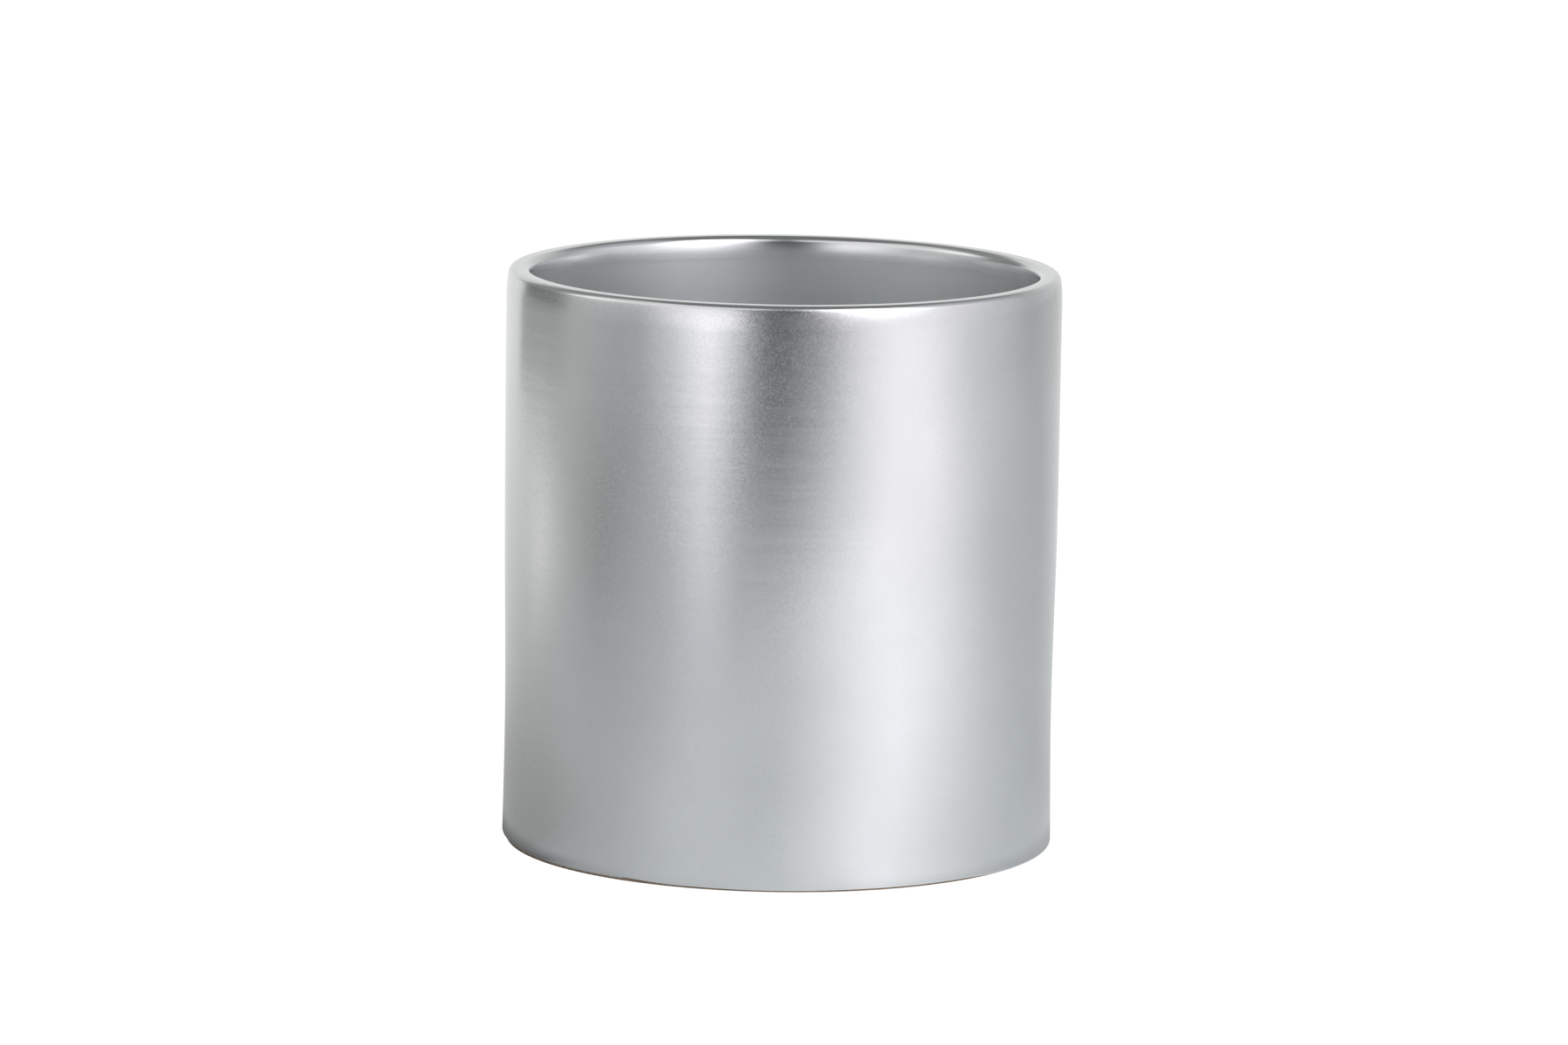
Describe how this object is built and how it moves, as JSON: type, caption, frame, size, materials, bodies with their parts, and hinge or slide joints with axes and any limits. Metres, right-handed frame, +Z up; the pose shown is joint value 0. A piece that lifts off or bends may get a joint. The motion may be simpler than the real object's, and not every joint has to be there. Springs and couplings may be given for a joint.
{
  "type": "candle vessel",
  "caption": "Round open ceramic candle vessel with a thick rounded rim, a satin silver coat inside and out, and a bare clay foot ring.",
  "frame": {"origin": "centre of the foot's underside, on the surface that the vessel stands on", "axes": "+Z up along the vessel's axis, out of its open mouth; X and Y are any two directions across it, because the vessel is turned about Z"},
  "size_m": [0.1, 0.1, 0.104],
  "materials": {
    "clay": "matte",
    "silver_outside": "satin",
    "silver_inside": "satin"
  },
  "bodies": {
    "root": {"clay_body": "clay", "outer_coat": "silver_outside", "inner_coat": "silver_inside"}
  },
  "joints": []
}
